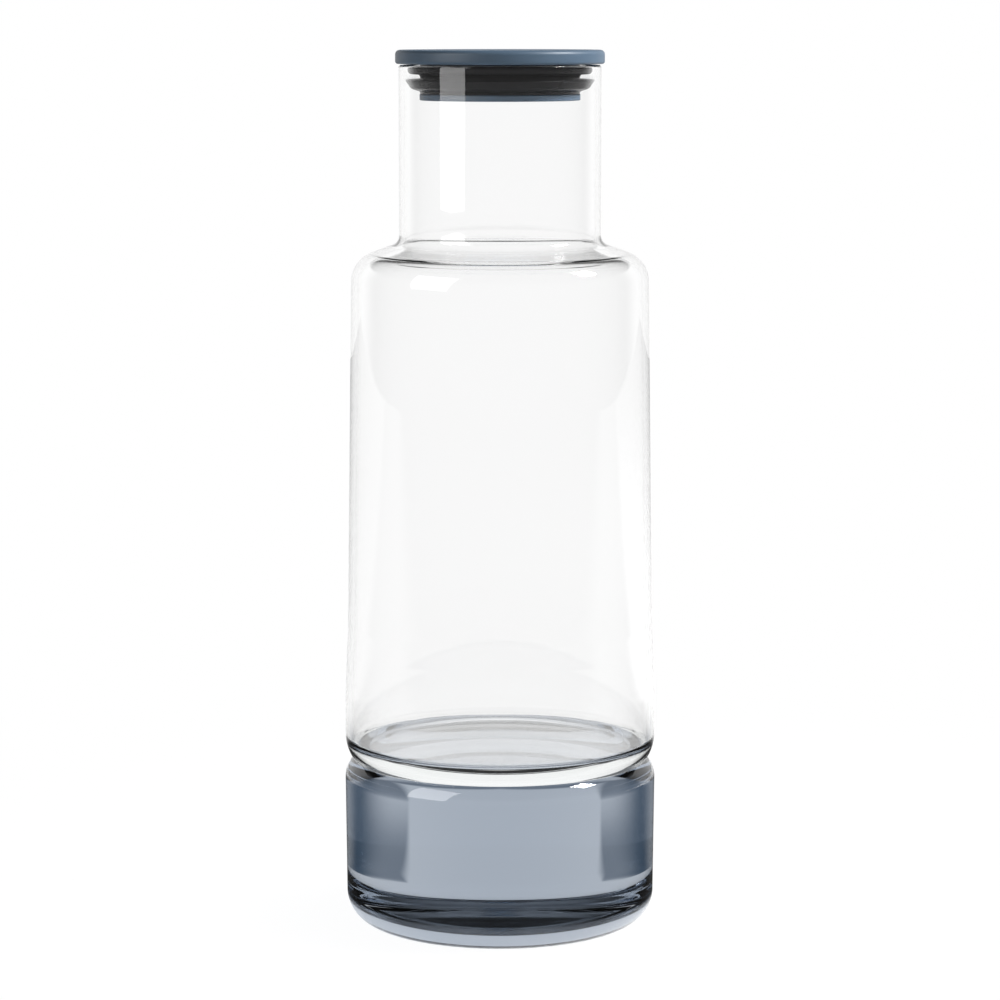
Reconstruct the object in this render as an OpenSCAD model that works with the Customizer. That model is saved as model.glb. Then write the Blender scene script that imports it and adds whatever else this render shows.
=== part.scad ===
// Glass carafe: a clear open vessel fused onto a solid smoke-tinted base, closed by a lift-out stopper.
// Millimetres, +Z up. The origin is the centre of the foot, on the surface that the carafe stands on.
// Every piece is a body of revolution, drawn as one closed outline of [radius, height, rounding] corners.

/* [Clear vessel] */
// Outer diameter of the straight neck
neck_d = 65; // [62:0.1:70]
// Height of the neck, from its root at the shoulder to the rim
neck_h = 56.9; // [40:0.1:80]
// Wall thickness of the neck
neck_wall = 1.8; // [1.4:0.1:2.6]
// Rounding of the polished rim's two edges
rim_round = 0.8; // [0.2:0.05:0.85]
// How far the body tapers in on each side, from the flare up to the shoulder
shoulder_inset = 1.65; // [0:0.05:6]
// How far the shoulder falls from the neck's root to the body's edge
shoulder_drop = 5.4; // [3:0.1:12]
// Rounding of the shoulder's outer edge
shoulder_round = 9.5; // [4:0.5:12]
// Rounding of the hollow where the neck meets the shoulder
neck_root_round = 3.5; // [1:0.5:6]
// Height of the clear vessel, from the fused joint to the neck's root
body_h = 168.6; // [120:0.1:220]
// How far the body has come in on each side where the flare above the heel ends and the straight taper begins
flare_inset = 1; // [0.2:0.05:2.5]
// Height of that place above the fused joint
flare_h = 44; // [30:0.5:60]
// How far the heel, the widest part of the clear glass, stays inside the base's outer diameter on each side
heel_inset = 0.15; // [0:0.05:1]
// Height of the heel's upper end above the fused joint
heel_h = 22; // [12:0.5:28]
// Long rounding at both ends of the flare
flare_round = 60; // [10:5:80]
// Height of the heel's lower corner above the fused joint
heel_corner_h = 3.7; // [2:0.1:6]
// Rounding of the heel, as it turns in to the waist
heel_round = 16; // [5:1:20]
// Wall thickness of the body
body_wall = 2.2; // [1.6:0.1:3.5]
// Thickness of the clear vessel's own floor
vessel_floor = 5.5; // [3:0.1:9]
// Rounding inside the vessel, between its floor and wall
vessel_floor_round = 2.5; // [1:0.5:12]

/* [Tinted base] */
// Height of the tinted base, from the table to the fused joint
base_h = 54.2; // [40:0.1:70]
// Outer diameter of the base just under its in-turned rim, the largest of the carafe
base_d = 101.5; // [92:0.1:112]
// How far the waist, where the two glasses are fused, lies inside that on each side
waist_inset = 2.9; // [1.5:0.1:5]
// How far the base's outer corner lies under the fused joint
base_corner_drop = 2.6; // [1:0.1:4]
// Rounding of the base's outer edge, as it turns in to the waist
base_rim_round = 9; // [2:0.1:12]
// How far the base tapers in on each side, down to the foot
foot_inset = 0.55; // [0:0.05:3]
// Rounding of the foot's outer edge
foot_round = 10.5; // [5:0.1:16]
// Width of the flat ring that the carafe stands on, inside the foot's rounding
ring_w = 2.7; // [1:0.1:6]
// Depth of the shallow hollow inside that ring
punt_depth = 0.8; // [0.3:0.1:3]
// Width of the slope between the hollow and the ring
punt_slope = 1.2; // [0.5:0.1:1.5]
// Width of the fused ring at the waist
joint_w = 5; // [3.5:0.1:9]
// Depth of the thin space that the ring encloses between the clear floor and the base
space_depth = 1; // [0.4:0.1:3]
// Rounding at the bottom corner of that space
space_round = 0.5; // [0.1:0.1:0.9]

/* [Stopper lid] */
// Diameter of the lid
lid_d = 67.2; // [66:0.1:80]
// Thickness of the lid
lid_t = 4.5; // [3:0.1:8]
// Rounding of the lid's upper edge
lid_top_round = 1.5; // [0.3:0.1:2]
// Rounding of the lid's lower edge
lid_under_round = 0.9; // [0.2:0.1:1.4]
// Length of the skirt that snaps into the plug
skirt_h = 6.5; // [5.5:0.1:8]
// Wall thickness of the skirt
skirt_wall = 1.5; // [1:0.1:2.5]
// How far the skirt's snap bead stands out
bead_out = 0.35; // [0.2:0.05:0.5]
// Height of the snap bead
bead_h = 1.4; // [1:0.1:2]
// Distance from the skirt's lower end to the bead
bead_lift = 1; // [0.6:0.1:2]

/* [Stopper plug] */
// Diameter of the disc at the plug's lower end, which holds the seal up
plug_disc_d = 51.6; // [50:0.1:56]
// Thickness of that disc
plug_disc_t = 2.05; // [1.4:0.1:4]
// Rounding of the disc's edges
plug_disc_round = 0.4; // [0.1:0.1:0.6]
// Outer diameter of the plug's hub, which the seal is stretched over
hub_d = 46.8; // [44:0.1:48]
// Height of the hub, from the disc to the lid
hub_h = 9.5; // [8.8:0.1:14]
// Wall thickness of the hub
hub_wall = 1.8; // [1.2:0.1:2.5]

/* [Seal] */
// Thickness of the seal's sleeve
sleeve_wall = 2.15; // [1:0.05:2.6]
// Height of the lower lip's root above the disc
lip_root_h = 0.7; // [0.3:0.1:1]
// Thickness of the lower lip at its root
lip_root_t = 2; // [1.2:0.1:2.4]
// How far the lower lip's tip turns up from its root
lip_rise = 3.8; // [2.6:0.1:3.9]
// Thickness of the lower lip at its tip
lip_tip_t = 0.8; // [0.5:0.1:1.2]
// Thickness of the upper lip
rib_t = 2.6; // [1.5:0.1:2.8]
// Distance from the lid down to the upper lip
rib_drop = 0.7; // [0.2:0.1:1]
// Free space between the upper lip and the neck's bore
rib_gap = 1.05; // [0.3:0.05:2]
// Rounding of the upper lip's edges
rib_round = 0.9; // [0.2:0.1:1.1]

/* [Fits] */
// Clearance between the lid and the neck's rim
lid_gap = 0.3; // [0.1:0.05:0.6]
// Clearance between the lower lip's tip and the neck's bore
lip_gap = 0.2; // [0.05:0.05:0.4]
// Radial clearance between the seal's sleeve and the hub
sleeve_gap = 0.05; // [0.02:0.01:0.1]
// Clearance between the skirt and the plug that it snaps into
snap_gap = 0.1; // [0.05:0.05:0.2]

/* [Hidden] */
$fn = 128;
// Largest angle between neighbouring points of an arc, and the fewest steps in one
arc_angle = 6;
arc_least_steps = 3;
// Most of a side that one corner's arc may take: all of it, or half where the next corner is rounded too
whole_side_share = 0.98;
half_side_share = 0.49;

// Radii of the glass
neck_r = neck_d / 2;
bore_r = neck_r - neck_wall;
base_r = base_d / 2;
waist_r = base_r - waist_inset;
foot_r = base_r - foot_inset;
punt_r = foot_r - foot_round - ring_w;
space_r = waist_r - joint_w;
heel_r = base_r - heel_inset;
flare_r = heel_r - flare_inset;
shoulder_r = flare_r - shoulder_inset;

// Heights of the glass above the table
joint_z = base_h;
heel_corner_z = joint_z + heel_corner_h;
heel_z = joint_z + heel_h;
flare_z = joint_z + flare_h;
neck_root_z = joint_z + body_h;
shoulder_z = neck_root_z - shoulder_drop;
rim_z = neck_root_z + neck_h;

// The shoulder's slope, and how far its inner face lies under its outer face
shoulder_slope = shoulder_drop / (shoulder_r - neck_r);
shoulder_wall_z = body_wall * sqrt(1 + shoulder_slope * shoulder_slope);

// The stopper hangs from the lid's flat underside
lid_z = rim_z + lid_gap;
plug_disc_z = lid_z - hub_h;
hub_r = hub_d / 2;
hub_inner_r = hub_r - hub_wall;
skirt_r = hub_inner_r - snap_gap;
skirt_z = lid_z - skirt_h;
bead_z = skirt_z + bead_lift;
sleeve_inner_r = hub_r + sleeve_gap;
sleeve_r = sleeve_inner_r + sleeve_wall;
lip_r = bore_r - lip_gap;
rib_r = bore_r - rib_gap;
lip_root_z = plug_disc_z + lip_root_h;
lip_tip_z = lip_root_z + lip_rise;
rib_top_z = lid_z - rib_drop;
rib_z = rib_top_z - rib_t;
// Where the lower lip bends up, as a share of its reach and of its rise
lip_bend_shares = [0.62, 0.27];
lip_bend_r = sleeve_r + (lip_r - sleeve_r) * lip_bend_shares[0];
lip_bend_z = lip_root_z + lip_rise * lip_bend_shares[1];

// Height of the shoulder's inner face at a radius
function under_shoulder(r) = shoulder_z + (shoulder_r - r) * shoulder_slope - shoulder_wall_z;

// Radius and height of a corner, without its rounding
function place(corner) = [corner[0], corner[1]];

// Share of a side that an arc may take, when the side's other end is this corner
function side_share(neighbour) = neighbour[2] == 0 ? whole_side_share : half_side_share;

// Point at share t of the arc that turns from one radius of a circle to another
function on_arc(from, to, turn, t) = (sin((1 - t) * turn) * from + sin(t * turn) * to) / sin(turn);

// Points of one corner: the corner itself, or an arc tangent to both of its sides
function corner_points(before, corner, after) =
    let (
        at = place(corner),
        back = place(before) - at,
        ahead = place(after) - at,
        back_dir = back / norm(back),
        ahead_dir = ahead / norm(ahead),
        half_angle = acos(max(-1, min(1, back_dir * ahead_dir))) / 2,
        turn = 180 - 2 * half_angle,
        room = min(norm(back) * side_share(before), norm(ahead) * side_share(after))
    )
    corner[2] == 0 || turn < 0.01 ? [at] :
    let (
        rounding = min(corner[2], room * tan(half_angle)),
        reach = rounding / tan(half_angle),
        middle = (back_dir + ahead_dir) / norm(back_dir + ahead_dir),
        centre = at + middle * rounding / sin(half_angle),
        steps = max(arc_least_steps, ceil(turn / arc_angle))
    )
    [for (i = [0:steps])
        centre + on_arc(at + back_dir * reach - centre, at + ahead_dir * reach - centre, turn, i / steps)];

// Solid that the closed outline makes when it is turned about Z
module turned(corners) {
    count = len(corners);
    rotate_extrude()
        polygon([for (i = [0:count - 1])
            each corner_points(corners[(i + count - 1) % count], corners[i], corners[(i + 1) % count])]);
}

// Open clear glass: floor, flared heel, tapered body, sloping shoulder and straight neck
module clear_vessel() {
    outside = [
        [0, joint_z, 0],
        [waist_r, joint_z, 0],
        [heel_r, heel_corner_z, heel_round],
        [heel_r, heel_z, flare_round],
        [flare_r, flare_z, flare_round],
        [shoulder_r, shoulder_z, shoulder_round],
        [neck_r, neck_root_z, neck_root_round],
        [neck_r, rim_z, rim_round]
    ];
    inside = [
        [bore_r, rim_z, rim_round],
        [bore_r, under_shoulder(bore_r), neck_root_round + body_wall],
        [shoulder_r - body_wall, under_shoulder(shoulder_r - body_wall), max(shoulder_round - body_wall, 0)],
        [flare_r - body_wall, flare_z, flare_round],
        [heel_r - body_wall, heel_z, flare_round],
        [heel_r - body_wall, joint_z + vessel_floor, vessel_floor_round],
        [0, joint_z + vessel_floor, 0]
    ];
    color([0.9, 0.95, 0.96, 0.35]) turned(concat(outside, inside));
}

// Solid tinted block with a rounded foot, a rim that turns in to the fused joint and a thin space on top
module smoke_base() {
    outside = [
        [0, punt_depth, 0],
        [punt_r - punt_slope, punt_depth, 0],
        [punt_r, 0, 0],
        [foot_r, 0, foot_round],
        [base_r, joint_z - base_corner_drop, base_rim_round],
        [waist_r, joint_z, 0]
    ];
    top = [
        [space_r, joint_z, 0],
        [space_r, joint_z - space_depth, space_round],
        [0, joint_z - space_depth, 0]
    ];
    color([0.35, 0.42, 0.5, 0.6]) turned(concat(outside, top));
}

// Blue-grey cup: the disc under the seal and the hub that the seal and the lid's skirt fit
module plug_cup() {
    groove_r = hub_inner_r + bead_out;
    groove_z = bead_z - snap_gap;
    groove_top_z = bead_z + bead_h + snap_gap;
    corners = [
        [0, plug_disc_z - plug_disc_t, 0],
        [plug_disc_d / 2, plug_disc_z - plug_disc_t, plug_disc_round],
        [plug_disc_d / 2, plug_disc_z, plug_disc_round],
        [hub_r, plug_disc_z, 0],
        [hub_r, lid_z, 0],
        [hub_inner_r, lid_z, 0],
        [hub_inner_r, groove_top_z, 0],
        [groove_r, groove_top_z - bead_out, 0],
        [groove_r, groove_z + bead_out, 0],
        [hub_inner_r, groove_z, 0],
        [hub_inner_r, plug_disc_z, 0],
        [0, plug_disc_z, 0]
    ];
    color([0.27, 0.34, 0.41]) turned(corners);
}

// Black elastic sleeve on the hub, with a rounded upper lip and a thin lower lip that turns up in the bore
module seal_ring() {
    corners = [
        [sleeve_inner_r, plug_disc_z, 0],
        [sleeve_r, plug_disc_z, 0],
        [sleeve_r, lip_root_z, lip_root_h],
        [lip_bend_r, lip_bend_z, lip_root_t],
        [lip_r, lip_tip_z, 0],
        [lip_r - lip_tip_t, lip_tip_z, 0],
        [lip_bend_r - lip_tip_t, lip_bend_z + lip_root_t, lip_tip_t],
        [sleeve_r, lip_root_z + lip_root_t, lip_tip_t],
        [sleeve_r, rib_z, rib_round],
        [rib_r, rib_z, rib_round],
        [rib_r, rib_top_z, rib_round],
        [sleeve_r, rib_top_z, 0],
        [sleeve_r, lid_z, 0],
        [sleeve_inner_r, lid_z, 0]
    ];
    color([0.09, 0.09, 0.09]) turned(corners);
}

// Blue-grey lid with a rounded edge, and under it the skirt whose bead snaps into the plug
module lid_disc() {
    bead_r = skirt_r + bead_out;
    corners = [
        [0, lid_z, 0],
        [skirt_r - skirt_wall, lid_z, 0],
        [skirt_r - skirt_wall, skirt_z, 0],
        [skirt_r, skirt_z, 0],
        [skirt_r, bead_z, 0],
        [bead_r, bead_z + bead_out, 0],
        [bead_r, bead_z + bead_h - bead_out, 0],
        [skirt_r, bead_z + bead_h, 0],
        [skirt_r, lid_z, 0],
        [lid_d / 2, lid_z, lid_under_round],
        [lid_d / 2, lid_z + lid_t, lid_top_round],
        [0, lid_z + lid_t, 0]
    ];
    color([0.27, 0.34, 0.41]) turned(corners);
}

clear_vessel();
smoke_base();
plug_cup();
seal_ring();
lid_disc();
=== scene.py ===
import math

import bpy
import numpy as np
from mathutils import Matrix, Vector


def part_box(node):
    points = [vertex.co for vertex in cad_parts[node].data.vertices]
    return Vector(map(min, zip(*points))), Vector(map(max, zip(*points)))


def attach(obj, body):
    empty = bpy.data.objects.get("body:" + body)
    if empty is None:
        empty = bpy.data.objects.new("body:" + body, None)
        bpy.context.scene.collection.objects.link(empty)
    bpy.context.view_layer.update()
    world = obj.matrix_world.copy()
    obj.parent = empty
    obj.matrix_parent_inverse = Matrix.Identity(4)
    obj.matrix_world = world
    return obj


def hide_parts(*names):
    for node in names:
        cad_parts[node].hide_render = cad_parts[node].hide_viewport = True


# Glass carafe with a solid smoke-tinted base and a lift-out stopper.
# Metres, +Z up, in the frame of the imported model: the foot's centre is the origin.

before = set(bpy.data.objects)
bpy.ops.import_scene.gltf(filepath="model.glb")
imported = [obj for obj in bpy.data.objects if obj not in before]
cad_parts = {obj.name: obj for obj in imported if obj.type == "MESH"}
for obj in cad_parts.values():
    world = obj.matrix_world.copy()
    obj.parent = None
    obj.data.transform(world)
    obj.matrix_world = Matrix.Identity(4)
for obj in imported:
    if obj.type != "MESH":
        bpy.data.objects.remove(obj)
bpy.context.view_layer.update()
MM = 0.001


# Places read from the frame

vessel_low, vessel_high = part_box("clear_vessel")
lid_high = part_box("lid_disc")[1]
plug_low, plug_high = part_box("plug_cup")

joint_z = vessel_low.z
rim_z = vessel_high.z
lid_top_z = lid_high.z
lid_r = lid_high.x
plug_bottom_z = plug_low.z
plug_disc_r = plug_high.x
lid_z = plug_high.z


# Sizes of the glass, as on the part

neck_r = 32.5 * MM
neck_wall = 1.8 * MM
rim_round = 0.8 * MM
neck_h = 56.9 * MM
neck_root_round = 3.5 * MM
shoulder_inset = 1.65 * MM
shoulder_drop = 5.4 * MM
shoulder_round = 9.5 * MM
flare_inset = 1 * MM
flare_h = 44 * MM
heel_inset = 0.15 * MM
heel_h = 22 * MM
flare_round = 60 * MM
heel_corner_h = 3.7 * MM
heel_round = 16 * MM
body_wall = 2.2 * MM
vessel_floor = 5.5 * MM
vessel_floor_round = 2.5 * MM

base_r = 50.75 * MM
waist_inset = 2.9 * MM
base_corner_drop = 2.6 * MM
base_rim_round = 9 * MM
foot_inset = 0.55 * MM
foot_round = 10.5 * MM
ring_w = 2.7 * MM
punt_depth = 0.8 * MM
punt_slope = 1.2 * MM
joint_w = 5 * MM
space_depth = 1 * MM
space_round = 0.5 * MM
# The base's fused ring reaches this far into the clear glass, and stays this far inside its edge
fused_depth = 0.2 * MM
fused_inset = 0.02 * MM

waist_r = base_r - waist_inset
foot_r = base_r - foot_inset
punt_r = foot_r - foot_round - ring_w
space_r = waist_r - joint_w
heel_r = base_r - heel_inset
flare_r = heel_r - flare_inset
shoulder_r = flare_r - shoulder_inset

neck_root_z = rim_z - neck_h
shoulder_z = neck_root_z - shoulder_drop
flare_z = joint_z + flare_h
heel_z = joint_z + heel_h
heel_corner_z = joint_z + heel_corner_h
bore_r = neck_r - neck_wall
shoulder_slope = shoulder_drop / (shoulder_r - neck_r)
shoulder_wall_z = body_wall * math.hypot(1, shoulder_slope)


# Sizes of the stopper, as on the part

lid_top_round = 1.5 * MM
lid_under_round = 0.9 * MM
skirt_wall = 1.5 * MM
skirt_h = 6.5 * MM

plug_disc_t = 2.05 * MM
plug_disc_round = 0.4 * MM
hub_r = 23.4 * MM
hub_wall = 1.8 * MM

sleeve_wall = 2.15 * MM
lip_root_h = 0.7 * MM
lip_rise = 3.8 * MM
lip_root_t = 2 * MM
lip_tip_t = 0.8 * MM
lip_tip_round = 0.38 * MM
# Where the lower lip turns up, as shares of its reach and of its rise
lip_bend_out_share = 0.62
lip_bend_up_share = 0.27
rib_t = 2.6 * MM
rib_drop = 0.7 * MM
# The upper lip is rounder here than on the part
rib_round = 1.25 * MM

# Clearances between the skirt and the hub, the sleeve and the hub, and the two lips and the neck's bore
snap_gap = 0.1 * MM
sleeve_gap = 0.05 * MM
lip_gap = 0.2 * MM
rib_gap = 1.05 * MM

skirt_r = hub_r - hub_wall - snap_gap
sleeve_inner_r = hub_r + sleeve_gap
sleeve_r = sleeve_inner_r + sleeve_wall
lip_r = bore_r - lip_gap
rib_r = bore_r - rib_gap
plug_disc_z = plug_bottom_z + plug_disc_t
lip_root_z = plug_disc_z + lip_root_h
lip_tip_z = lip_root_z + lip_rise
lip_bend_r = sleeve_r + (lip_r - sleeve_r) * lip_bend_out_share
lip_bend_z = lip_root_z + lip_rise * lip_bend_up_share
rib_top_z = lid_z - rib_drop
rib_z = rib_top_z - rib_t


# Profiles and turned surfaces

SEGMENTS = 256
SHARP_ANGLE = math.radians(35)
ARC_LEAST_STEPS = 4
# The most of a side that a corner's arc takes: nearly all of it, or half where the next corner is round too
WHOLE_SIDE_SHARE = 0.98
HALF_SIDE_SHARE = 0.49


def side_share(neighbour):
    """The most of a side that an arc takes, where neighbour is the corner at the side's other end."""
    return WHOLE_SIDE_SHARE if neighbour[2] == 0 else HALF_SIDE_SHARE


def rounded_outline(corners, angle_step):
    """Open outline through [radius, height, rounding] corners: each rounded corner becomes the arc that
    touches both of its sides, in steps of at most angle_step."""
    points = []
    last = len(corners) - 1
    for i, (r, z, rounding) in enumerate(corners):
        at = np.array([r, z])
        if rounding == 0 or i in (0, last):
            points.append(at[None])
            continue
        back = np.array(corners[i - 1][:2]) - at
        ahead = np.array(corners[i + 1][:2]) - at
        back_length = np.linalg.norm(back)
        ahead_length = np.linalg.norm(ahead)
        back_dir = back / back_length
        ahead_dir = ahead / ahead_length
        half = math.acos(np.clip(back_dir @ ahead_dir, -1, 1)) / 2
        turn = math.pi - 2 * half
        room = min(back_length * side_share(corners[i - 1]), ahead_length * side_share(corners[i + 1]))
        radius = min(rounding, room * math.tan(half))
        reach = radius / math.tan(half)
        middle = (back_dir + ahead_dir) / np.linalg.norm(back_dir + ahead_dir)
        centre = at + middle * radius / math.sin(half)
        start = at + back_dir * reach - centre
        end = at + ahead_dir * reach - centre
        steps = max(ARC_LEAST_STEPS, math.ceil(turn / angle_step))
        t = np.linspace(0, 1, steps + 1)[:, None]
        points.append(centre + (np.sin((1 - t) * turn) * start + np.sin(t * turn) * end) / math.sin(turn))
    return np.concatenate(points)


def filled_in(outline, longest):
    """The outline with its long straight stretches divided evenly, so that no step is over longest."""
    pieces = []
    for start, end in zip(outline[:-1], outline[1:]):
        steps = max(1, math.ceil(np.linalg.norm(end - start) / longest))
        t = np.linspace(0, 1, steps, endpoint=False)[:, None]
        pieces.append(start + (end - start) * t)
    pieces.append(outline[-1:])
    return np.concatenate(pieces)


def turned(name, corners, angle_step, longest, body, node, material):
    """Surface that an outline of rounded corners makes when it turns about Z. A point of the grid is
    (r cos a, r sin a, z), with r and z along the outline and a once round. Where the outline starts or ends
    on the axis it closes in one pole, and a closed outline joins its own start."""
    outline = filled_in(rounded_outline(corners, math.radians(angle_step)), longest)
    closed = np.allclose(outline[0], outline[-1])
    if closed:
        outline = outline[:-1]
    a = np.linspace(0, 2 * math.pi, SEGMENTS, endpoint=False)[None, :]
    r = outline[:, 0][:, None]
    z = outline[:, 1][:, None]
    grid = np.stack([r * np.cos(a), r * np.sin(a), z + 0 * a], axis=2)
    rows = len(outline)
    index = np.arange(rows * SEGMENTS).reshape(rows, SEGMENTS)
    for row in (0, rows - 1):
        if outline[row, 0] == 0 and not closed:
            index[row, :] = index[row, 0]
    following = np.roll(index, -1, axis=1)
    if closed:
        above = np.roll(index, -1, axis=0)
        above_following = np.roll(following, -1, axis=0)
        quads = np.stack([index, following, above_following, above], axis=2)
    else:
        quads = np.stack([index[:-1], following[:-1], following[1:], index[1:]], axis=2)
    used, compact = np.unique(quads.reshape(-1, 4), return_inverse=True)
    faces = [list(dict.fromkeys(face)) for face in compact.reshape(-1, 4).tolist()]
    mesh = bpy.data.meshes.new(name)
    mesh.from_pydata(grid.reshape(-1, 3)[used], [], faces)
    mesh.validate()
    mesh.shade_smooth()
    mesh.set_sharp_from_angle(angle=SHARP_ANGLE)
    piece = bpy.data.objects.new(name, mesh)
    bpy.context.scene.collection.objects.link(piece)
    mesh.materials.append(material)
    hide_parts(node)
    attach(piece, body)


# Materials

class Formula:
    """Writes small sums of numbers and sockets, and mixes of shaders, as nodes of one tree."""

    def __init__(self, tree):
        self.nodes = tree.nodes
        self.links = tree.links

    def math(self, operation, *values):
        """Output of a Math node whose inputs are the values, each a number or a socket."""
        node = self.nodes.new("ShaderNodeMath")
        node.operation = operation
        for socket, value in zip(node.inputs, values):
            if isinstance(value, bpy.types.NodeSocket):
                self.links.new(value, socket)
            else:
                socket.default_value = value
        return node.outputs[0]

    def minus(self, first, second):
        return self.math("SUBTRACT", first, second)

    def times(self, *values):
        """Product of two or more values."""
        product = values[0]
        for value in values[1:]:
            product = self.math("MULTIPLY", product, value)
        return product

    def either(self, first, second):
        """The larger of two masks."""
        return self.math("MAXIMUM", first, second)

    def smooth(self, value, start, end, first, last):
        """Goes smoothly from first to last while value goes from start to end."""
        node = self.nodes.new("ShaderNodeMapRange")
        node.interpolation_type = "SMOOTHSTEP"
        self.links.new(value, node.inputs["Value"])
        for name, number in (("From Min", start), ("From Max", end), ("To Min", first), ("To Max", last)):
            node.inputs[name].default_value = number
        return node.outputs["Result"]

    def between(self, share, first, last):
        """first where share is 0, last where it is 1."""
        return self.math("MULTIPLY_ADD", share, self.minus(last, first), first)

    def glow(self, colour):
        """Shader that glows in a colour, where 1 is white."""
        emission = self.nodes.new("ShaderNodeEmission")
        emission.inputs["Color"].default_value = (*colour, 1)
        return emission.outputs["Emission"]

    def blended(self, share, first, second):
        """The first shader where share is 0, the second where it is 1."""
        mix = self.nodes.new("ShaderNodeMixShader")
        self.links.new(share, mix.inputs["Fac"])
        self.links.new(first, mix.inputs[1])
        self.links.new(second, mix.inputs[2])
        return mix.outputs["Shader"]


def new_material(name):
    """An empty node material, its tree and its output node."""
    material = bpy.data.materials.new(name)
    material.use_nodes = True
    tree = material.node_tree
    tree.nodes.clear()
    output = tree.nodes.new("ShaderNodeOutputMaterial")
    return material, tree, output


def mottle_group():
    """Node group for the slight unevenness of a moulded or blown surface, from two noises on Object
    coordinates: the coarse one changes the colour, the fine one the roughness and the height."""
    group = bpy.data.node_groups.new("surface_mottle", "ShaderNodeTree")
    for way, name, kind in (("INPUT", "Colour", "Color"), ("INPUT", "Colour Change", "Float"),
                            ("INPUT", "Roughness", "Float"), ("INPUT", "Roughness Change", "Float"),
                            ("INPUT", "Coarse Scale", "Float"), ("INPUT", "Fine Scale", "Float"),
                            ("OUTPUT", "Colour", "Color"), ("OUTPUT", "Roughness", "Float"),
                            ("OUTPUT", "Height", "Float")):
        group.interface.new_socket(name, in_out=way, socket_type="NodeSocket" + kind)
    nodes, links = group.nodes, group.links
    formula = Formula(group)
    given = nodes.new("NodeGroupInput")
    made = nodes.new("NodeGroupOutput")
    place = nodes.new("ShaderNodeTexCoord")

    def noise(scale, detail):
        texture = nodes.new("ShaderNodeTexNoise")
        texture.inputs["Detail"].default_value = detail
        links.new(place.outputs["Object"], texture.inputs["Vector"])
        links.new(given.outputs[scale], texture.inputs["Scale"])
        return texture.outputs["Fac"]

    def varied(noise_value, change, level):
        """level, plus change times the noise's departure from its middle."""
        return formula.math("MULTIPLY_ADD", formula.minus(noise_value, 0.5), change, level)

    coarse = noise("Coarse Scale", detail=3)
    fine = noise("Fine Scale", detail=4)
    tinted = nodes.new("ShaderNodeVectorMath")
    tinted.operation = "SCALE"
    links.new(given.outputs["Colour"], tinted.inputs[0])
    links.new(varied(coarse, given.outputs["Colour Change"], 1), tinted.inputs["Scale"])
    roughness = varied(fine, given.outputs["Roughness Change"], given.outputs["Roughness"])
    links.new(tinted.outputs["Vector"], made.inputs["Colour"])
    links.new(roughness, made.inputs["Roughness"])
    links.new(fine, made.inputs["Height"])
    return group


MOTTLE = mottle_group()


def surface(tree, mottling, bump, bump_distance):
    """A Principled BSDF whose colour, roughness and bump come from the mottle group. mottling gives the
    group's inputs by name."""
    nodes, links = tree.nodes, tree.links
    shader = nodes.new("ShaderNodeBsdfPrincipled")
    mottle = nodes.new("ShaderNodeGroup")
    mottle.node_tree = MOTTLE
    for name, value in mottling.items():
        mottle.inputs[name].default_value = value
    links.new(mottle.outputs["Colour"], shader.inputs["Base Color"])
    links.new(mottle.outputs["Roughness"], shader.inputs["Roughness"])
    relief = nodes.new("ShaderNodeBump")
    relief.inputs["Strength"].default_value = bump
    relief.inputs["Distance"].default_value = bump_distance
    links.new(mottle.outputs["Height"], relief.inputs["Height"])
    links.new(relief.outputs["Normal"], shader.inputs["Normal"])
    return shader


def glass_material(name, absorbed, density, refraction, bump):
    """Polished glass that is tinted in its depth, and lets lamps and soft light through to the table."""
    material, tree, output = new_material(name)
    nodes, links = tree.nodes, tree.links
    formula = Formula(tree)
    mottling = {"Colour": (1, 1, 1, 1), "Colour Change": 0,
                "Roughness": 0, "Roughness Change": 0,
                "Coarse Scale": 18, "Fine Scale": 45}
    shader = surface(tree, mottling, bump, bump_distance=0.2 * MM)
    shader.inputs["IOR"].default_value = refraction
    shader.inputs["Transmission Weight"].default_value = 1
    open_way = nodes.new("ShaderNodeBsdfTransparent")
    path = nodes.new("ShaderNodeLightPath")
    soft_ray = formula.either(path.outputs["Is Shadow Ray"], path.outputs["Is Diffuse Ray"])
    polished = formula.blended(soft_ray, shader.outputs["BSDF"], open_way.outputs["BSDF"])
    links.new(polished, output.inputs["Surface"])
    depth = nodes.new("ShaderNodeVolumeAbsorption")
    depth.inputs["Color"].default_value = (*absorbed, 1)
    depth.inputs["Density"].default_value = density
    links.new(depth.outputs["Volume"], output.inputs["Volume"])
    return material


def moulded_material(name, colour, roughness, gloss, bump):
    """Opaque moulding with a fine grain: the lid's satin plastic or the seal's silicone."""
    material, tree, output = new_material(name)
    mottling = {"Colour": (*colour, 1), "Colour Change": 0.16,
                "Roughness": roughness, "Roughness Change": 0.12,
                "Coarse Scale": 60, "Fine Scale": 2600}
    shader = surface(tree, mottling, bump, bump_distance=0.05 * MM)
    shader.inputs["Specular IOR Level"].default_value = gloss
    tree.links.new(shader.outputs["BSDF"], output.inputs["Surface"])
    return material


clear_glass = glass_material("clear_glass", absorbed=(0.40, 0.65, 0.58), density=0.8,
                             refraction=1.47, bump=0.04)
smoke_glass = glass_material("smoke_glass", absorbed=(0.233, 0.333, 0.458), density=12,
                             refraction=1.49, bump=0.05)
lid_plastic = moulded_material("lid_plastic", colour=(0.056, 0.091, 0.134), roughness=0.46,
                               gloss=0.35, bump=0.25)
seal_silicone = moulded_material("seal_silicone", colour=(0.006, 0.006, 0.007), roughness=0.26,
                                 gloss=0.1, bump=0.2)


# Clear vessel

def under_shoulder(r):
    """Height of the shoulder's inner face at a radius."""
    return shoulder_z + (shoulder_r - r) * shoulder_slope - shoulder_wall_z


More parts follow.
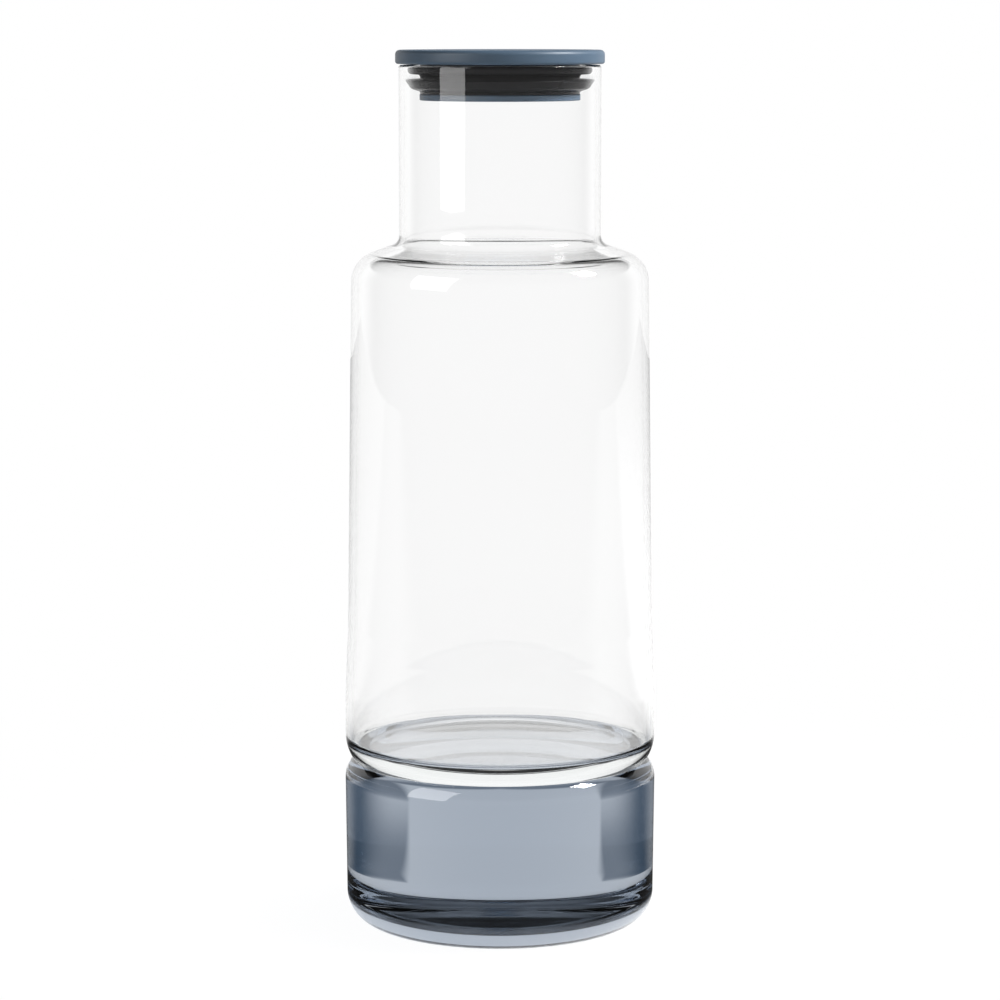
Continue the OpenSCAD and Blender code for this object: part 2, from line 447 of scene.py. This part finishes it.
vessel_outline = [
    [0, joint_z, 0],
    [waist_r, joint_z, 0],
    [heel_r, heel_corner_z, heel_round],
    [heel_r, heel_z, flare_round],
    [flare_r, flare_z, flare_round],
    [shoulder_r, shoulder_z, shoulder_round],
    [neck_r, neck_root_z, neck_root_round],
    [neck_r, rim_z, rim_round],
    [bore_r, rim_z, rim_round],
    [bore_r, under_shoulder(bore_r), neck_root_round + body_wall],
    [shoulder_r - body_wall, under_shoulder(shoulder_r - body_wall), shoulder_round - body_wall],
    [flare_r - body_wall, flare_z, flare_round],
    [heel_r - body_wall, heel_z, flare_round],
    [heel_r - body_wall, joint_z + vessel_floor, vessel_floor_round],
    [0, joint_z + vessel_floor, 0],
]
turned("clear_glass_vessel", vessel_outline, angle_step=2.5, longest=6 * MM,
       body="carafe", node="clear_vessel", material=clear_glass)


# Smoke base

base_outline = [
    [0, punt_depth, 0],
    [punt_r - punt_slope, punt_depth, 0],
    [punt_r, 0, 0],
    [foot_r, 0, foot_round],
    [base_r, joint_z - base_corner_drop, base_rim_round],
    [waist_r, joint_z, 0],
    [waist_r - fused_inset, joint_z + fused_depth, 0],
    [space_r, joint_z + fused_depth, 0],
    [space_r, joint_z - space_depth, space_round],
    [0, joint_z - space_depth, 0],
]
turned("smoke_glass_base", base_outline, angle_step=2.5, longest=6 * MM,
       body="carafe", node="smoke_base", material=smoke_glass)


# Stopper

lid_outline = [
    [0, lid_z, 0],
    [skirt_r - skirt_wall, lid_z, 0],
    [skirt_r - skirt_wall, lid_z - skirt_h, 0],
    [skirt_r, lid_z - skirt_h, 0],
    [skirt_r, lid_z, 0],
    [lid_r, lid_z, lid_under_round],
    [lid_r, lid_top_z, lid_top_round],
    [0, lid_top_z, 0],
]
turned("lid_cap", lid_outline, angle_step=6, longest=4 * MM,
       body="stopper", node="lid_disc", material=lid_plastic)

plug_outline = [
    [0, plug_bottom_z, 0],
    [plug_disc_r, plug_bottom_z, plug_disc_round],
    [plug_disc_r, plug_disc_z, plug_disc_round],
    [hub_r, plug_disc_z, 0],
    [hub_r, lid_z, 0],
    [hub_r - hub_wall, lid_z, 0],
    [hub_r - hub_wall, plug_disc_z, 0],
    [0, plug_disc_z, 0],
]
turned("plug_body", plug_outline, angle_step=8, longest=4 * MM,
       body="stopper", node="plug_cup", material=lid_plastic)

seal_outline = [
    [sleeve_inner_r, plug_disc_z, 0],
    [sleeve_r, plug_disc_z, 0],
    [sleeve_r, lip_root_z, lip_root_h],
    [lip_bend_r, lip_bend_z, lip_root_t],
    [lip_r, lip_tip_z, lip_tip_round],
    [lip_r - lip_tip_t, lip_tip_z, lip_tip_round],
    [lip_bend_r - lip_tip_t, lip_bend_z + lip_root_t, lip_tip_t],
    [sleeve_r, lip_root_z + lip_root_t, lip_tip_t],
    [sleeve_r, rib_z, rib_round],
    [rib_r, rib_z, rib_round],
    [rib_r, rib_top_z, rib_round],
    [sleeve_r, rib_top_z, 0],
    [sleeve_r, lid_z, 0],
    [sleeve_inner_r, lid_z, 0],
    [sleeve_inner_r, plug_disc_z, 0],
]
turned("lip_seal", seal_outline, angle_step=8, longest=4 * MM,
       body="stopper", node="seal_ring", material=seal_silicone)


# Floor and studio

def through_one_piece(formula, path):
    """Mask of rays that went into one piece of glass at most, and out of it."""
    return formula.math("LESS_THAN", path.outputs["Transmission Depth"], 3)


def mirror_images(formula, path):
    """Two masks of rays that mirrored something: straight off an outer face, and inside the first glass."""
    not_through = formula.minus(1, path.outputs["Is Transmission Ray"])
    outer = formula.times(path.outputs["Is Glossy Ray"], not_through)
    inner = formula.times(formula.math("MINIMUM", path.outputs["Glossy Depth"], 1),
                          formula.minus(1, outer), through_one_piece(formula, path))
    return outer, inner


def painted_tinted_shadow(formula, across, back):
    """Painted smoke-coloured shadow of the base: how much of it lies at a place of the floor, from its
    distances across and behind the carafe's axis. It is drawn as if the solid base gathered the light into a
    fan straight behind it, which leans a little to one side, with the painted shadow at both sides of that
    fan. It starts close behind the base, deepens outwards, and fades away in the distance and towards the
    base's sides."""
    fan_start = 69 * MM
    fan_slope = 0.495
    fan_lean = 0.045
    sideways = formula.math("ABSOLUTE", across)
    slope = formula.math("MULTIPLY_ADD", formula.math("SIGN", across), -fan_lean, fan_slope)
    fan_edge = formula.times(slope, formula.minus(back, fan_start))
    beside_fan = formula.smooth(formula.minus(sideways, fan_edge), start=-1 * MM, end=3 * MM, first=0, last=1)

    # The distance from the base's rearmost point, and the angle there from straight back
    behind = formula.minus(back, base_r)
    squares = formula.math("ADD", formula.times(sideways, sideways), formula.times(behind, behind))
    away = formula.math("SQRT", squares)
    angle = formula.math("ARCTAN2", sideways, behind)

    # Painted light of the fan, which thins the painted shadow towards straight back and further away
    painted_fan_light = formula.times(
        formula.smooth(angle, start=math.radians(26), end=math.radians(54), first=1, last=0.05),
        formula.smooth(away, start=60 * MM, end=200 * MM, first=0.3, last=1))
    reach = formula.times(
        formula.smooth(away, start=8 * MM, end=14 * MM, first=0, last=1),
        formula.smooth(away, start=240 * MM, end=340 * MM, first=1, last=0),
        formula.smooth(angle, start=math.radians(55), end=math.radians(88), first=1, last=0))
    return formula.times(beside_fan, reach, formula.minus(1, painted_fan_light))


def pale_floor():
    """Wide pale floor that carries the carafe's soft shadow and runs into the white around. Through glass it
    is white, with a painted smoke-coloured shadow of the base where it is seen through the base alone. In
    mirror images it is dark on the camera's side and close behind the carafe."""
    edge = 2.0
    mesh = bpy.data.meshes.new("pale_floor")
    corners = [(-edge, -edge, 0), (edge, -edge, 0), (edge, edge, 0), (-edge, edge, 0)]
    mesh.from_pydata(corners, [], [(0, 1, 2, 3)])
    floor = bpy.data.objects.new("pale_floor", mesh)
    bpy.context.scene.collection.objects.link(floor)
    material, tree, output = new_material("pale_floor")
    nodes, links = tree.nodes, tree.links
    formula = Formula(tree)
    place = nodes.new("ShaderNodeTexCoord")
    spot = nodes.new("ShaderNodeSeparateXYZ")
    links.new(place.outputs["Object"], spot.inputs[0])
    across = spot.outputs["X"]
    back = spot.outputs["Y"]
    length = nodes.new("ShaderNodeVectorMath")
    length.operation = "LENGTH"
    links.new(place.outputs["Object"], length.inputs[0])
    distance = length.outputs["Value"]
    path = nodes.new("ShaderNodeLightPath")
    matt = nodes.new("ShaderNodeBsdfDiffuse")
    matt.inputs["Color"].default_value = (0.82, 0.82, 0.82, 1)
    white = formula.glow((1, 1, 1))
    black = formula.glow((0, 0, 0))
    # Dim smoke-blue glow that paints the base's shadow on the floor
    painted_shadow_tint = formula.glow((0.08, 0.13, 0.19))

    # The matt floor's shadow shows faintly round the foot and not further out
    white_share = formula.times(
        formula.smooth(distance, start=50 * MM, end=400 * MM, first=0.92, last=1),
        path.outputs["Is Camera Ray"])
    plain = formula.blended(white_share, matt.outputs["BSDF"], white)

    # Seen through the base alone, the floor shows the painted shadow instead of white
    shadow = formula.times(painted_tinted_shadow(formula, across, back), through_one_piece(formula, path))
    through = formula.blended(shadow, white, painted_shadow_tint)
    seen = formula.blended(path.outputs["Is Transmission Ray"], plain, through)

    # Outer faces mirror the camera's side and the floor close behind dark, inner faces the front alone
    outer, inner = mirror_images(formula, path)
    near = formula.times(outer, formula.smooth(back, start=0.2, end=0.35, first=1, last=0))
    in_front = formula.times(inner, formula.smooth(back, start=-0.4, end=-0.1, first=1, last=0))
    dark_part = formula.times(
        formula.either(near, in_front),
        formula.smooth(distance, start=50 * MM, end=70 * MM, first=0, last=1),
        formula.smooth(distance, start=0.5, end=1.2, first=0.95, last=0.8))
    links.new(formula.blended(dark_part, seen, black), output.inputs["Surface"])
    mesh.materials.append(material)


pale_floor()


def height_ramp(nodes, links, height, stops):
    """Brightness of the studio against height, which is 0 at the horizon and 1 straight up."""
    ramp = nodes.new("ShaderNodeValToRGB")
    elements = ramp.color_ramp.elements
    while len(elements) < len(stops):
        elements.new(0.5)
    for element, (place, brightness) in zip(elements, stops):
        element.position = place
        element.color = (brightness, brightness, brightness, 1)
    links.new(height, ramp.inputs["Fac"])
    return ramp.outputs["Color"]


# Stops of height and brightness, where a height is the sine of the elevation
BACK_STOPS = [(0, 1), (0.37, 1), (0.39, 0.02), (0.97, 0.02), (0.995, 0.3), (1, 0.3)]
SIDE_STOPS = [(0, 1), (0.35, 1), (0.45, 0.1), (0.6, 0.1), (0.9, 0.3), (1, 0.3)]


def white_studio():
    """World: plain white for the camera and an even dimmer light on things. Glass and gloss show a studio:
    white up to the backdrop's upper edge, a dark strip over it and a pale ceiling, and in mirror images a
    dark room on the camera's side."""
    light_on_things = 0.5
    world = bpy.data.worlds.new("white_studio")
    world.use_nodes = True
    nodes, links = world.node_tree.nodes, world.node_tree.links
    nodes.clear()
    formula = Formula(world.node_tree)
    output = nodes.new("ShaderNodeOutputWorld")
    level = nodes.new("ShaderNodeBackground")
    level.inputs["Color"].default_value = (1, 1, 1, 1)
    place = nodes.new("ShaderNodeTexCoord")
    direction = nodes.new("ShaderNodeSeparateXYZ")
    links.new(place.outputs["Generated"], direction.inputs[0])
    back = direction.outputs["Y"]
    height = direction.outputs["Z"]
    path = nodes.new("ShaderNodeLightPath")

    around = height_ramp(nodes, links, height, SIDE_STOPS)
    behind = height_ramp(nodes, links, height, BACK_STOPS)
    studio = formula.between(formula.smooth(back, start=0.45, end=0.75, first=0, last=1), around, behind)
    outer, inner = mirror_images(formula, path)
    dark_room = formula.times(formula.either(outer, inner),
                              formula.smooth(back, start=0.35, end=0.7, first=0.8, last=0))
    studio = formula.times(studio, formula.minus(1, dark_room))
    plain = formula.between(path.outputs["Is Camera Ray"], light_on_things, 1)
    by_glass_or_gloss = formula.either(path.outputs["Is Transmission Ray"], path.outputs["Is Glossy Ray"])
    links.new(formula.between(by_glass_or_gloss, plain, studio), level.inputs["Strength"])
    links.new(level.outputs["Background"], output.inputs["Surface"])
    bpy.context.scene.world = world


white_studio()


# Lamps and camera

def softbox(name, azimuth, distance, height, width, tall, radiance, lights_things):
    """Rectangular lamp that points at the carafe's middle from azimuth degrees round it: 0 is the camera's
    side, 90 is +X. radiance 1 is white. It shows in gloss, and never through the glass."""
    aim = Vector((0, 0, 0.15))
    turn = math.radians(azimuth)
    lamp = bpy.data.lights.new(name, "AREA")
    lamp.shape = "RECTANGLE"
    lamp.size = width
    lamp.size_y = tall
    lamp.energy = radiance * math.pi * width * tall
    piece = bpy.data.objects.new(name, lamp)
    piece.location = (distance * math.sin(turn), -distance * math.cos(turn), height)
    piece.rotation_euler = (piece.location - aim).to_track_quat("Z", "Y").to_euler()
    piece.visible_transmission = False
    piece.visible_diffuse = lights_things
    bpy.context.scene.collection.objects.link(piece)


softbox("left_softbox", azimuth=-55, distance=0.95, height=0.535, width=0.6, tall=0.77,
        radiance=5, lights_things=False)
softbox("right_softbox", azimuth=85, distance=1.0, height=1.1, width=0.32, tall=0.32,
        radiance=100, lights_things=True)

# The camera's place, pitch and lens were fitted to the photograph's outline
camera_distance = 1.1506
camera_height = 0.2926
camera_pitch = math.radians(7.6)
sensor_width = 36
lens_in_sensor_widths = 3.566

camera_data = bpy.data.cameras.new("camera")
camera_data.sensor_width = sensor_width
camera_data.lens = sensor_width * lens_in_sensor_widths
camera = bpy.data.objects.new("camera", camera_data)
camera.location = (0, -camera_distance, camera_height)
camera.rotation_euler = (math.pi / 2 - camera_pitch, 0, 0)
bpy.context.scene.collection.objects.link(camera)
bpy.context.scene.camera = camera

settings = bpy.context.scene.view_settings
settings.view_transform = "Standard"
